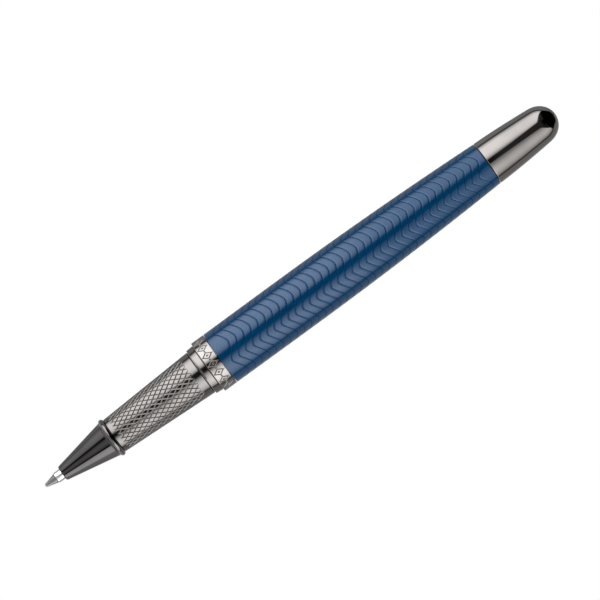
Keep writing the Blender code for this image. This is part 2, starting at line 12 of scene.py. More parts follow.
import bmesh
import bpy
from mathutils import Euler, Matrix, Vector

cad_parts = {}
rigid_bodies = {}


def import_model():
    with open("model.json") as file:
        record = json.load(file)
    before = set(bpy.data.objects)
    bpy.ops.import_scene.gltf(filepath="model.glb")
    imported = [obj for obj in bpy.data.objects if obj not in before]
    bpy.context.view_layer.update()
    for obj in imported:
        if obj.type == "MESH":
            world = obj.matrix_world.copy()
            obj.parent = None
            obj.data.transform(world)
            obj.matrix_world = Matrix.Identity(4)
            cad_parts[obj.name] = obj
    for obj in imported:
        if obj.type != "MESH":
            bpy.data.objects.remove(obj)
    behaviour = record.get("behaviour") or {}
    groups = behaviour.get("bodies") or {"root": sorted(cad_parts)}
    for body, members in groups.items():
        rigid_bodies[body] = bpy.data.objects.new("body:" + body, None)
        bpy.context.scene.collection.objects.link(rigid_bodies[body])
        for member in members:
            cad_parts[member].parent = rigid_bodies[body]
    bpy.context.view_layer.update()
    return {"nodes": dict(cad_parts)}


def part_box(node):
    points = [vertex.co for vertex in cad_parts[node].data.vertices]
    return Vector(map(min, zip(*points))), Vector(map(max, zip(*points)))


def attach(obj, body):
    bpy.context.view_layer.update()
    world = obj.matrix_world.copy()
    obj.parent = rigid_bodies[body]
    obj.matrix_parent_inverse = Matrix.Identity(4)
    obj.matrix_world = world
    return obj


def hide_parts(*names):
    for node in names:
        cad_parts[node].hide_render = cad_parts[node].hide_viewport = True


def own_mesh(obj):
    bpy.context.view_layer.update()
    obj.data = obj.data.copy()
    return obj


MM = 0.001
for startup_object in list(bpy.data.objects):
    bpy.data.objects.remove(startup_object)
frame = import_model()


@functools.cache
def node_box(node):
    """A CAD node's lowest and highest corners, in millimetres."""
    return [[value / MM for value in corner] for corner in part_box(node)]


def low(node):
    return node_box(node)[0][2]


def high(node):
    return node_box(node)[1][2]


def widest(node):
    """The node's largest radius."""
    return node_box(node)[1][0]


def mesh_from(build, name):
    mesh = bpy.data.meshes.new(name)
    build.to_mesh(mesh)
    build.free()
    return mesh


# ---------------------------------------------------------------- camera

ROLL = 53.86
LENS = 250.0
SENSOR = 36.0
VIEW_WIDTH = 123.3
PEN_CENTRE_Z = 65.0
CENTRE_RIGHT = 0.145
CENTRE_UP = 0.065
CLIP_METRES = (0.05, 20.0)


def make_camera():
    """Square on to the pen from -Y, rolled so that the pen lies on the picture's rising diagonal."""
    data = bpy.data.cameras.new("camera")
    data.type = "PERSP"
    data.lens = LENS
    data.sensor_width = SENSOR
    data.clip_start, data.clip_end = CLIP_METRES
    camera = bpy.data.objects.new("camera", data)
    bpy.context.scene.collection.objects.link(camera)
    upright = Euler((math.radians(90), 0, 0)).to_quaternion()
    turn = upright @ Euler((0, 0, math.radians(ROLL))).to_quaternion()
    away = Vector((0, -VIEW_WIDTH * LENS / SENSOR, PEN_CENTRE_Z))
    aside = turn @ Vector((-CENTRE_RIGHT, -CENTRE_UP, 0))
    camera.rotation_mode = "QUATERNION"
    camera.rotation_quaternion = turn
    camera.location = (away + aside) * MM
    bpy.context.scene.camera = camera


# ---------------------------------------------------------------- node helpers

class Nodes:
    """Short calls for building one shader tree."""

    def __init__(self, tree):
        self.tree = tree

    def add(self, kind, inputs=(), **settings):
        node = self.tree.nodes.new(kind)
        for name, value in settings.items():
            setattr(node, name, value)
        for name, value in dict(inputs).items():
            self.feed(node.inputs[name], value)
        return node

    def feed(self, socket, value):
        if isinstance(value, bpy.types.NodeSocket):
            self.tree.links.new(value, socket)
        else:
            socket.default_value = value

    def math(self, operation, *values):
        node = self.add("ShaderNodeMath", operation=operation)
        for socket, value in zip(node.inputs, values):
            self.feed(socket, value)
        return node.outputs[0]

    def remap(self, value, from_low, from_high, to_low, to_high, kind="LINEAR"):
        inputs = {"Value": value, "From Min": from_low, "From Max": from_high,
                  "To Min": to_low, "To Max": to_high}
        return self.add("ShaderNodeMapRange", inputs, interpolation_type=kind).outputs[0]

    def within(self, value, rising, falling):
        """1 between two places and 0 outside them, each edge spread over its (start, end)."""
        started = self.remap(value, *rising, 0.0, 1.0)
        return self.math("MULTIPLY", started, self.remap(value, *falling, 1.0, 0.0))

    def blend(self, share, one, other):
        kept = self.math("MULTIPLY", one, self.math("SUBTRACT", 1.0, share))
        return self.math("ADD", kept, self.math("MULTIPLY", other, share))

    def noise(self, where, scale, detail=3.0, roughness=0.55):
        inputs = {"Vector": where, "Scale": scale, "Detail": detail, "Roughness": roughness}
        return self.add("ShaderNodeTexNoise", inputs).outputs["Fac"]

    def stretched_noise(self, where, scale, detail):
        """Noise with its own scale along each axis."""
        mapped = self.add("ShaderNodeMapping", {"Vector": where, "Scale": scale}).outputs[0]
        return self.noise(mapped, 1.0, detail)

    def bump(self, height, strength, distance):
        """A bumped normal. The distance is in metres."""
        inputs = {"Height": height, "Strength": strength, "Distance": distance}
        return self.add("ShaderNodeBump", inputs).outputs[0]

    def mix_colour(self, factor, one, other):
        node = self.add("ShaderNodeMix", data_type="RGBA")
        for index, value in ((0, factor), (6, one), (7, other)):
            self.feed(node.inputs[index], value)
        return node.outputs[2]


# ---------------------------------------------------------------- studio

WHITE = (1.0, 1.0, 1.0, 1.0)

# Brightness of the studio round the pen, by azimuth from the camera, positive towards +X.
# Two tall softboxes stand left and right of a dark camera gap, and a dim sweep closes the back.
STUDIO = (
    (-180, 0.30), (-150, 0.36), (-134, 0.46), (-122, 0.58), (-111, 0.50), (-107, 0.16), (-100, 0.18),
    (-96, 1.3), (-88, 3.0), (-74, 4.4), (-60, 4.4), (-48, 4.4), (-34, 4.0), (-24, 2.9),
    (-18, 1.6), (-12, 0.03), (7, 0.03), (12, 0.5), (18, 1.4), (25, 2.3), (34, 3.2),
    (48, 3.9), (60, 3.8), (74, 2.9), (86, 1.5), (91, 0.22), (97, 0.16), (101, 0.48),
    (118, 0.48), (132, 0.44), (144, 0.46), (180, 0.48),
)
# The same for what the nose cone mirrors, from below the softboxes' lower edge.
LOW_STUDIO = (
    (-180, 0.80), (-128, 0.85), (-112, 0.80), (-98, 0.85), (-88, 1.35), (-74, 1.70), (-50, 1.50),
    (-40, 1.2), (-33, 0.3), (-28, 0.03), (-22, 0.03), (-16, 0.40), (-6, 0.66), (2, 0.76),
    (14, 0.66), (24, 0.42), (30, 0.03), (37, 0.03), (42, 2.8), (60, 3.3), (76, 3.4),
    (84, 2.7), (92, 1.35), (108, 1.10), (130, 0.80), (180, 0.70),
)
STUDIO_PEAK = 4.4
DARK = 0.03

# Each pair of rises is where a change starts and ends, in degrees above the horizon.
LOW_STUDIO_RISE = (-16.0, -9.0)
DIMMER_RISE = (0.5, 5.0)
# Towards the finial both softboxes are dimmer: the azimuths of their two edges, and the share lost.
DIMMERS = (((10.0, 20.0), (94.0, 100.0), 0.52), ((-106.0, -98.0), (-20.0, -10.0), 0.30))
# The dark strip between the softboxes opens with the rise. The weight keeps its right edge nearer the middle.
STRIP_RIGHT_WEIGHT = 1.35
STRIP_OPENING = 2.4
STRIP_CLOSED = -12.0
STRIP_SOFT = 3.0
# The softboxes' top edge, which is higher towards the back.
TOP_FRONT, TOP_BACK = 41.0, 58.0
TOP_AZIMUTH = (92.0, 108.0)
TOP_SOFT = (-3.0, 2.0)
# A faint haze keeps the strip from going black along the finial.
HAZE = 0.07
HAZE_RISE = (5.0, 9.0)
HAZE_END = (20.0, 32.0)
# Well below the pen the studio is an even grey.
GROUND = 1.1
GROUND_RISE = (-40.0, -27.0)

FLOOR_DROP = 60.0
FLOOR_RADIUS = 110.0
FLOOR_SIDES = 96
FLOOR_GREY = 0.86
FLOOR_ROUGHNESS = 0.9
FLOOR_GLOW = 0.5


def studio_ramp(n, around, levels):
    """Brightness against azimuth, which runs from 0 to 1 round the pen."""
    ramp = n.add("ShaderNodeValToRGB", {"Fac": around})
    stops = ramp.color_ramp.elements
    for index, (angle, level) in enumerate(levels):
        place = (angle + 180) / 360
        stop = stops[index] if index < 2 else stops.new(place)
        stop.position = place
        grey = level / STUDIO_PEAK
        stop.color = (grey, grey, grey, 1.0)
    return n.math("MULTIPLY", ramp.outputs[0], STUDIO_PEAK)


def softbox_level(n, azimuth, rise):
    """The two rings of softboxes, the lower one below the horizon, and dimmer towards the finial."""
    around = n.remap(azimuth, -180.0, 180.0, 0.0, 1.0)
    lowness = n.remap(rise, *LOW_STUDIO_RISE, 1.0, 0.0, "SMOOTHSTEP")
    level = n.blend(lowness, studio_ramp(n, around, STUDIO), studio_ramp(n, around, LOW_STUDIO))
    for rising, falling, loss in DIMMERS:
        inside = n.within(azimuth, rising, falling)
        dimmer = n.math("MULTIPLY", inside, n.remap(rise, *DIMMER_RISE, 0.0, loss, "SMOOTHSTEP"))
        level = n.math("MULTIPLY", level, n.math("SUBTRACT", 1.0, dimmer))
    return level


def dark_mask(n, azimuth, rise):
    """Near 0 in the dark strip and in the dome above the softboxes, and 1 elsewhere."""
    to_right = n.math("MULTIPLY", azimuth, STRIP_RIGHT_WEIGHT)
    off_strip = n.math("MAXIMUM", to_right, n.math("MULTIPLY", azimuth, -1.0))
    edge = n.math("ADD", n.math("MULTIPLY", rise, STRIP_OPENING), STRIP_CLOSED)
    past_edge = n.remap(n.math("SUBTRACT", off_strip, edge), -STRIP_SOFT, STRIP_SOFT, DARK, 1.0, "SMOOTHSTEP")
    top = n.remap(n.math("ABSOLUTE", azimuth), *TOP_AZIMUTH, TOP_FRONT, TOP_BACK)
    below_top = n.remap(n.math("SUBTRACT", rise, top), *TOP_SOFT, 1.0, DARK, "SMOOTHSTEP")
    return n.math("MULTIPLY", past_edge, below_top)


def make_world():
    """White where the camera sees past the pen. The pen mirrors softboxes, dark gaps and a dark dome."""
    world = bpy.data.worlds.new("studio")
    world.use_nodes = True
    bpy.context.scene.world = world
    tree = world.node_tree
    tree.nodes.clear()
    n = Nodes(tree)
    direction = n.add("ShaderNodeTexCoord").outputs["Generated"]
    x, y, z = n.add("ShaderNodeSeparateXYZ", {"Vector": direction}).outputs
    azimuth = n.math("DEGREES", n.math("ARCTAN2", x, n.math("MULTIPLY", y, -1.0)))
    rise = n.math("DEGREES", n.math("ARCSINE", z))
    level = n.math("MULTIPLY", softbox_level(n, azimuth, rise), dark_mask(n, azimuth, rise))
    haze = n.math("MULTIPLY", n.remap(rise, *HAZE_RISE, 0.0, HAZE), n.remap(rise, *HAZE_END, 1.0, 0.0))
    level = n.math("MAXIMUM", level, haze)
    level = n.blend(n.remap(rise, *GROUND_RISE, 1.0, 0.0, "SMOOTHSTEP"), level, GROUND)
    seen = n.add("ShaderNodeBackground", {"Color": WHITE, "Strength": 1.0}).outputs[0]
    lit = n.add("ShaderNodeBackground", {"Color": WHITE, "Strength": level}).outputs[0]
    camera_ray = n.add("ShaderNodeLightPath").outputs["Is Camera Ray"]
    both = n.add("ShaderNodeMixShader", {0: camera_ray, 1: lit, 2: seen}).outputs[0]
    n.add("ShaderNodeOutputWorld", {"Surface": both})


def make_floor():
    """A pale disc some way below the pen, whose point is held clear of it."""
    build = bmesh.new()
    bmesh.ops.create_circle(build, cap_ends=True, segments=FLOOR_SIDES, radius=FLOOR_RADIUS * MM)
    mesh = mesh_from(build, "floor")
    floor = bpy.data.objects.new("floor", mesh)
    floor.location.z = -FLOOR_DROP * MM
    bpy.context.scene.collection.objects.link(floor)
    paper = bpy.data.materials.new("floor_paper")
    paper.use_nodes = True
    shader = paper.node_tree.nodes["Principled BSDF"]
    shader.inputs["Base Color"].default_value = (FLOOR_GREY, FLOOR_GREY, FLOOR_GREY, 1.0)
    shader.inputs["Roughness"].default_value = FLOOR_ROUGHNESS
    shader.inputs["Emission Color"].default_value = WHITE
    shader.inputs["Emission Strength"].default_value = FLOOR_GLOW
    mesh.materials.append(paper)


# ---------------------------------------------------------------- materials

# Noise scales are per metre, and where there are three they run along x, y and z.
# Most of a noise's values lie between the first two levels, and nearly all of them between the next two.
NOISE_CORE = (0.35, 0.65)
NOISE_RANGE = (0.3, 0.7)

METAL_WEAR = 0.03
METAL_TONES = (0.90, 1.08)
METAL_DRIFT = 140.0
METAL_PATCHES = 420.0
HAIRLINES_ALONG = (2600.0, 2600.0, 110.0)
HAIRLINES_ALONG_LEVELS = (0.62, 0.72)
HAIRLINES_ROUND = (500.0, 500.0, 5200.0)
HAIRLINES_ROUND_LEVELS = (0.64, 0.74)
HAIRLINES_ROUND_SHARE = 0.7
HAIRLINE_ROUGHNESS = 0.048
HAIRLINE_HEIGHT = -0.35
TURNING_MARKS = (60.0, 60.0, 9000.0)
METAL_BUMP = 0.25
METAL_BUMP_METRES = 0.000004

LACQUER_METALLIC = 0.27
LACQUER_MOTTLE = 900.0
LACQUER_GRAIN = (3200.0, 3200.0, 500.0)
LACQUER_SPREAD = 0.05
COAT_ROUGHNESS = 0.035
COAT_IOR = 1.40
COAT_RIPPLE = (260.0, 260.0, 180.0)
COAT_BUMP = 0.10
COAT_BUMP_METRES = 0.00001

PLAIN_TONES = (0.88, 1.12)
PLAIN_SPREAD = 0.07
PLAIN_BUMP = 0.4


def new_material(name):
    made = bpy.data.materials.new(name)
    made.use_nodes = True
    n = Nodes(made.node_tree)
    shader = made.node_tree.nodes["Principled BSDF"]
    place = n.add("ShaderNodeTexCoord").outputs["Object"]
    return made, n, shader, place


def tones(colour, shares):
    """A darker and a lighter tone of the colour."""
    return [tuple(min(1.0, channel * share) for channel in colour) + (1.0,) for share in shares]


def metal(name, colour, roughness, turned=0.0):
    """Polished or turned metal: a slow drift in tone, hairlines and, where asked, fine turning marks."""
    made, n, shader, place = new_material(name)
    drift = n.remap(n.noise(place, METAL_DRIFT, 4.0), *NOISE_CORE, 0.0, 1.0)
    n.feed(shader.inputs["Base Color"], n.mix_colour(drift, *tones(colour, METAL_TONES)))
    shader.inputs["Metallic"].default_value = 1.0
    along, across = (n.stretched_noise(place, scale, 2.0) for scale in (HAIRLINES_ALONG, HAIRLINES_ROUND))
    along = n.remap(along, *HAIRLINES_ALONG_LEVELS, 0.0, 1.0)
    across = n.remap(across, *HAIRLINES_ROUND_LEVELS, 0.0, HAIRLINES_ROUND_SHARE)
    marks = n.math("MAXIMUM", along, across)
    patches = n.remap(n.noise(place, METAL_PATCHES), *NOISE_RANGE, -METAL_WEAR, METAL_WEAR)
    rough = n.math("ADD", n.math("MULTIPLY_ADD", marks, HAIRLINE_ROUGHNESS, roughness), patches)
    n.feed(shader.inputs["Roughness"], rough)
    height = n.math("MULTIPLY", marks, HAIRLINE_HEIGHT)
    if turned:
        height = n.math("MULTIPLY_ADD", n.stretched_noise(place, TURNING_MARKS, 3.0), turned, height)
    n.feed(shader.inputs["Normal"], n.bump(height, METAL_BUMP, METAL_BUMP_METRES))
    return made


def lacquer(name, colour, deep, roughness, coat):
    """Translucent lacquer over bright engraved metal, under a clear gloss coat."""
    made, n, shader, place = new_material(name)
    mottle = n.noise(place, LACQUER_MOTTLE, 4.0, 0.6)
    grain = n.stretched_noise(place, LACQUER_GRAIN, 3.0)
    depth = n.remap(n.math("MULTIPLY", n.math("ADD", mottle, grain), 0.5), *NOISE_CORE, 0.0, 1.0)
    n.feed(shader.inputs["Base Color"], n.mix_colour(depth, (*deep, 1.0), (*colour, 1.0)))
    shader.inputs["Metallic"].default_value = LACQUER_METALLIC
    shader.inputs["Specular IOR Level"].default_value = 0.0
    rough = n.remap(grain, *NOISE_RANGE, roughness - LACQUER_SPREAD, roughness + LACQUER_SPREAD)
    n.feed(shader.inputs["Roughness"], rough)
    shader.inputs["Coat Weight"].default_value = coat
    shader.inputs["Coat Roughness"].default_value = COAT_ROUGHNESS
    shader.inputs["Coat IOR"].default_value = COAT_IOR
    ripple = n.stretched_noise(place, COAT_RIPPLE, 2.0)
    n.feed(shader.inputs["Coat Normal"], n.bump(ripple, COAT_BUMP, COAT_BUMP_METRES))
    return made


def plain(name, colour, roughness, grain_scale, grain_metres):
    """Moulded plastic, rubber or fibre: a fine grain, and a little variation in tone."""
    made, n, shader, place = new_material(name)
    grain = n.noise(place, grain_scale, 5.0, 0.6)
    n.feed(shader.inputs["Base Color"], n.mix_colour(grain, *tones(colour, PLAIN_TONES)))
    rough = n.remap(grain, *NOISE_RANGE, roughness - PLAIN_SPREAD, roughness + PLAIN_SPREAD)
    n.feed(shader.inputs["Roughness"], rough)
    n.feed(shader.inputs["Normal"], n.bump(grain, PLAIN_BUMP, grain_metres))
    return made


def make_materials():
    return {
        "gunmetal": metal("gunmetal_polished", (0.158, 0.150, 0.146), 0.085),
        "gunmetal_bright": metal("gunmetal_bright", (0.210, 0.199, 0.193), 0.075),
        "gunmetal_grip": metal("gunmetal_grip", (0.145, 0.138, 0.134), 0.11),
        "groove": metal("gunmetal_groove", (0.085, 0.082, 0.080), 0.28),
        # The dark gunmetal is the nose cone's metal. On the barrel bush it is painted shade for the joint gap.
        "dark_gunmetal": metal("gunmetal_dark_and_gap_shade", (0.075, 0.072, 0.073), 0.06),
        "bright_steel": metal("steel_bright", (0.72, 0.71, 0.70), 0.05, turned=0.05),
        "point_metal": metal("nickel_silver", (0.235, 0.228, 0.224), 0.30, turned=0.08),
        "brass": metal("machined_brass", (0.62, 0.45, 0.20), 0.24, turned=1.0),
        "lacquer": lacquer("lacquer_blue", (0.0, 0.042, 0.118), (0.0, 0.034, 0.098), 0.32, 1.0),
        "lacquer_deep": lacquer(
            "lacquer_blue_engraved", (0.0, 0.036, 0.102), (0.0, 0.028, 0.085), 0.34, 0.34),
        "black_rubber": plain("rubber_black", (0.018, 0.018, 0.018), 0.62, 2600.0, 0.00002),
        "black_plastic": plain("plastic_black", (0.025, 0.025, 0.026), 0.42, 1900.0, 0.00001),
        "grey_plastic": plain("plastic_grey", (0.30, 0.30, 0.31), 0.36, 1500.0, 0.00001),
        "fibre": plain("fibre_bonded", (0.74, 0.72, 0.66), 0.88, 4200.0, 0.00005),
    }


# ---------------------------------------------------------------- turned pieces

FINE_TURN = 160
SMALL_TURN = 96
ON_AXIS = 1e-6


def spaced(start, end, parts):
    return [start + (end - start) * i / parts for i in range(parts + 1)]


def on_ring(radius, turn, z):
    """The place in metres at this radius and z, turned about the pen's axis by an angle in radians."""
    return radius * math.cos(turn) * MM, radius * math.sin(turn) * MM, z * MM


def off_axis(place):
    return math.hypot(place.x, place.y)


def ring_turns(steps):
    return [2 * math.pi * step / steps for step in range(steps)]


def arc(centre_r, centre_z, radius, start, end, parts, radius_z=None):
    """Points (radius, z) along an arc, at angles from +r towards +z."""
    tall = radius if radius_z is None else radius_z
    angles = [math.radians(angle) for angle in spaced(start, end, parts)]
    return [(centre_r + radius * math.cos(angle), centre_z + tall * math.sin(angle)) for angle in angles]


def edge_points(radius, z, steps):
    """Points (radius, z) at small steps from one place."""
    return [(radius + out, z + up) for out, up in steps]


def ring_mesh(name, outline, steps):
    """A turned mesh from a closed outline of (radius, z), or from one that starts and ends on the axis."""
    build = bmesh.new()
    rings = []
    for radius, z in outline:
        turns = [0.0] if radius < ON_AXIS else ring_turns(steps)
        rings.append([build.verts.new(on_ring(radius, turn, z)) for turn in turns])
    pairs = list(zip(rings, rings[1:]))
    if len(rings[0]) > 1 and len(rings[-1]) > 1:
        pairs.append((rings[-1], rings[0]))
    for one, other in pairs:
        for step in range(steps):
            after = (step + 1) % steps
            places = ((one, step), (one, after), (other, after), (other, step))
            unique = list(dict.fromkeys(ring[place % len(ring)] for ring, place in places))
            if len(unique) > 2:
                build.faces.new(unique)
    bmesh.ops.recalc_face_normals(build, faces=build.faces)
    return mesh_from(build, name)


def add_piece(name, mesh, body, finishes, stands_for, sharp_angle):
    mesh.shade_smooth()
    mesh.set_sharp_from_angle(angle=math.radians(sharp_angle))
    piece = bpy.data.objects.new(name, mesh)
    bpy.context.scene.collection.objects.link(piece)
    for finish in finishes:
        mesh.materials.append(MATERIALS[finish])
    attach(piece, body)
    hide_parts(stands_for)


def add_turned(name, outline, body, finish, stands_for, sharp_angle, steps=FINE_TURN):
    add_piece(name, ring_mesh(name, outline, steps), body, [finish], stands_for, sharp_angle)


# ---------------------------------------------------------------- writing point

BALL_SEGMENTS = 48
BALL_RINGS = 32

POINT_BORE_R = 0.16
POINT_BORE_START = 0.55
POINT_MOUTH_R = 0.345
POINT_MOUTH_LENGTH = 0.10
POINT_LIP_R = 0.385
POINT_LIP_ROUND = 0.03
POINT_LIP_INSET = 0.02
POINT_NECK_R = 0.43
POINT_NECK_LENGTH = 0.20
POINT_HOLLOW = 1.04
POINT_SHOULDER = ((-0.02, -0.04), (0.0, 0.01), (-0.02, 0.06))
POINT_SHOULDER_GAP = 0.10
POINT_SHANK_STEP = 0.17
POINT_SHANK_START = 0.07

TUBE_WALL = 0.26
TUBE_EDGE_R = 0.07
TUBE_BEVEL = 0.03


def make_ball():
    build = bmesh.new()
    radius = (high("ball") - low("ball")) / 2
    bmesh.ops.create_uvsphere(build, u_segments=BALL_SEGMENTS, v_segments=BALL_RINGS, radius=radius * MM)
    bmesh.ops.translate(build, verts=build.verts, vec=(0, 0, (low("ball") + radius) * MM))
    mesh = mesh_from(build, "writing_ball")
    add_piece("writing_ball", mesh, "ball", ["bright_steel"], "ball", 40)


def make_point():
    """The cone that holds the ball: a rolled lip, a slightly hollow flank and a shoulder next to the tube."""
    start, end, base_r = low("writing_point"), high("writing_point"), widest("writing_point")
    shoulder = low("tip_tube") - POINT_SHOULDER_GAP
    neck = start + POINT_NECK_LENGTH
    shank_r = base_r - POINT_SHANK_STEP
    flank = [
        (POINT_NECK_R + (base_r - POINT_NECK_R) * t ** POINT_HOLLOW, neck + (shoulder - neck) * t)
        for t in spaced(0, 1, 8)
    ]
    outline = [
        (POINT_BORE_R, start + POINT_BORE_START),
        (POINT_MOUTH_R, start + POINT_MOUTH_LENGTH),
        (POINT_MOUTH_R, start),
        *arc(POINT_LIP_R - POINT_LIP_INSET, start + POINT_LIP_ROUND, POINT_LIP_ROUND, -80, 10, 4),
        *flank[:-1],
        *edge_points(base_r, shoulder, POINT_SHOULDER),
        (shank_r, shoulder + POINT_SHANK_START),
        (shank_r, end),
        (POINT_BORE_R, end),
    ]
    add_turned("point_cone", outline, "refill", "point_metal", "writing_point", 30, SMALL_TURN)


def make_tip_tube():
    start, end, radius = low("tip_tube"), high("tip_tube"), widest("tip_tube")
    bore = radius - TUBE_WALL
    outline = [
        (bore, start + TUBE_BEVEL),
        *arc(radius - TUBE_EDGE_R, start + TUBE_EDGE_R, TUBE_EDGE_R, -100, 0, 5),
        (radius, end),
        (bore, end),
    ]
    add_turned("point_tube", outline, "refill", "bright_steel", "tip_tube", 30, SMALL_TURN)


# ---------------------------------------------------------------- nose and its bead

NOSE_FRONT_R = 1.64
NOSE_EDGE_R = 0.35
NOSE_REAR_INSET = 0.14
NOSE_FLANK_START = 0.4
NOSE_FLARE_LENGTH = 0.42
NOSE_FLARE_RISE = 0.05
NOSE_BORE_R = 1.28
NOSE_BORE_LENGTH = 4.0
NOSE_MOUTH_BEVEL = 0.05
NOSE_MOUTH_LENGTH = 0.06
NOSE_CHANNEL_R = 1.70
NOSE_CHANNEL_START = 4.5
NOSE_SPIGOT_STEP = 0.60
NOSE_SPIGOT_WALL = 0.75
NOSE_POCKET = 1.4
NOSE_INTO_BEAD = 0.05

BEAD_FLANK_INSET = 1.215
BEAD_WALL = 0.40


def make_nose():
    """A polished cone, flared just before the bead, with a rounded mouth and a spigot for the grip."""
    start, end = low("nose_cone"), high("nose_cone")
    shoulder = low("nose_ring") - NOSE_INTO_BEAD
    rear_r = widest("nose_cone") - NOSE_REAR_INSET
    slope = (rear_r - NOSE_FRONT_R) / (shoulder - start)
    lean = math.atan(slope)
    edge_z = start + NOSE_EDGE_R
    edge_r = NOSE_FRONT_R + slope * NOSE_EDGE_R - NOSE_EDGE_R / math.cos(lean)
    flare_start = shoulder - NOSE_FLARE_LENGTH
    flank_start = edge_z + NOSE_FLANK_START
    flank = [(NOSE_FRONT_R + slope * (z - start), z) for z in spaced(flank_start, flare_start, 10)]
    flare = []
    for t in spaced(0.1, 1.0, 9):
        z = flare_start + NOSE_FLARE_LENGTH * t
        flare.append((NOSE_FRONT_R + slope * (z - start) + NOSE_FLARE_RISE * t * t, z))
    spigot_r = rear_r - NOSE_SPIGOT_STEP
    pocket_r = spigot_r - NOSE_SPIGOT_WALL
    outline = [
        (NOSE_BORE_R, start + NOSE_MOUTH_LENGTH),
        (NOSE_BORE_R + NOSE_MOUTH_BEVEL, start),
        *arc(edge_r, edge_z, NOSE_EDGE_R, -90, -math.degrees(lean), 8),
        *flank,
        *flare,
        (spigot_r, shoulder),
        (spigot_r, end),
        (pocket_r, end),
        (pocket_r, shoulder - NOSE_POCKET),
        (NOSE_CHANNEL_R, shoulder - NOSE_POCKET),
        (NOSE_CHANNEL_R, start + NOSE_CHANNEL_START),
        (NOSE_BORE_R, start + NOSE_BORE_LENGTH),
    ]
    add_turned("nose", outline, "section", "dark_gunmetal", "nose_cone", 25)


def make_bead():
    start, end = low("nose_ring"), high("nose_ring")
    half = (end - start) / 2
    flank = widest("grip_sleeve") - BEAD_FLANK_INSET
    outline = [
        *arc(flank, start + half, widest("nose_ring") - flank, -90, 90, 28, half),
        (flank - BEAD_WALL, end),
        (flank - BEAD_WALL, start),
    ]
    add_turned("bead_ring", outline, "section", "gunmetal", "nose_ring", 50)


# ---------------------------------------------------------------- grip and its lattice

GRIP_FRONT_R = 3.955
GRIP_REAR_EXTRA = 0.01
GRIP_FRONT_WALL = 0.55
GRIP_REAR_BORE_STEP = 0.35
# The plain ends: (z from the sleeve's end, change in radius). The rear one's lip hides the brass behind it.
GRIP_FRONT_EDGE = ((0.12, 0.0), (0.04, -0.04), (0.0, -0.12))
GRIP_REAR_EDGE = ((-0.13, 0.0), (-0.05, -0.05), (0.0, -0.13), (0.0, -0.40), (0.08, -0.42))

LATTICE_STARTS = 25
LATTICE_PITCH = 1.74
LATTICE_SHIFT = 0.44
LATTICE_DEPTH = 0.070
LATTICE_HALF_WIDTH = 0.12
LATTICE_LIP = 0.03
LATTICE_LIP_FALL = 0.03
LATTICE_WALL_FALL = 0.94
LATTICE_PILLOW = 0.014
LATTICE_FRONT = 0.85
LATTICE_REAR = 1.66
LATTICE_FRONT_FADE = 0.6
LATTICE_REAR_FADE = 0.7
LATTICE_MARGIN = 0.25
SPARE_ROWS = 3
WELD_METRES = 1e-7
ON_CUT_METRES = 2e-6


def grip_radius(z):
    start, end = low("grip_sleeve"), high("grip_sleeve")
    widening = widest("grip_sleeve") - GRIP_FRONT_R + GRIP_REAR_EXTRA
    return GRIP_FRONT_R + widening * (z - start) / (end - start)


def lattice_knots():
    """Places across a diamond, from groove to groove: the groove's floor, wall and softened lip, and the pad."""
    half = LATTICE_HALF_WIDTH
    edge = [0.0, 0.4 * half, 0.85 * half, half, half + 0.02, half + 0.05]
    middle = spaced(edge[-1], 1 - edge[-1], 4)[1:-1]
    return edge + middle + [1 - knot for knot in reversed(edge)]


def groove_fall(knot):
    """How deep the surface lies at this place across a diamond, as a share of the groove's depth."""
    near = min(knot, 1 - knot)
    if near >= LATTICE_HALF_WIDTH + LATTICE_LIP:
        return 0.0
    if near > LATTICE_HALF_WIDTH:
        return LATTICE_LIP_FALL
    return 1.0 - LATTICE_WALL_FALL * near / LATTICE_HALF_WIDTH


def add_diamond(build, knots, row, column, cut_start, cut_end):
    """One pad of the lattice, with half of each groove round it. The cuts fade out towards both ends."""
    grid = []
    for a in knots:
        line = []
        for b in knots:
            z = cut_start + LATTICE_SHIFT + LATTICE_PITCH * (row + a + b) / 2
            turn = math.pi * (column + a - b) / LATTICE_STARTS
            fade = min((z - cut_start) / LATTICE_FRONT_FADE, (cut_end - z) / LATTICE_REAR_FADE)
            pillow = LATTICE_PILLOW * ((2 * a - 1) ** 2 + (2 * b - 1) ** 2) / 2
            deep = LATTICE_DEPTH * max(groove_fall(a), groove_fall(b)) + pillow
            deep *= min(1.0, max(0.0, fade))
            line.append(build.verts.new(on_ring(grip_radius(z) - deep, turn, z)))
        grid.append(line)
    for i in range(len(knots) - 1):
        for j in range(len(knots) - 1):
            build.faces.new((grid[i][j], grid[i + 1][j], grid[i + 1][j + 1], grid[i][j + 1]))


def trim_beyond(build, z, side):
    """Cuts the mesh off at a height, on the side that the sign says."""
    everything = build.verts[:] + build.edges[:] + build.faces[:]
    bmesh.ops.bisect_plane(build, geom=everything, dist=1e-8, plane_co=(0, 0, z * MM),
                           plane_no=(0, 0, side), clear_outer=True)


def carry_ring(build, edges, radius, z):
    """Extrudes a ring of edges to a new radius and height, and returns the new ring's edges."""
    made = bmesh.ops.extrude_edge_only(build, edges=edges)["geom"]
    for vert in [item for item in made if isinstance(item, bmesh.types.BMVert)]:
        vert.co = on_ring(radius, math.atan2(vert.co.y, vert.co.x), z)
    return [item for item in made if isinstance(item, bmesh.types.BMEdge) and item.is_boundary]


def add_grip_end(build, cut, margin, end, edge_steps, bore):
    """A plain end of the sleeve, from the lattice's cut edge round to the bore. Returns the bore's edges."""
    edges = [e for e in build.edges if e.is_boundary and abs(e.verts[0].co.z - cut * MM) < ON_CUT_METRES]
    edges = carry_ring(build, edges, grip_radius(cut + margin), cut + margin)
    for up, change in edge_steps:
        edges = carry_ring(build, edges, grip_radius(end + up) + change, end + up)
    return carry_ring(build, edges, bore, end + edge_steps[-1][0])


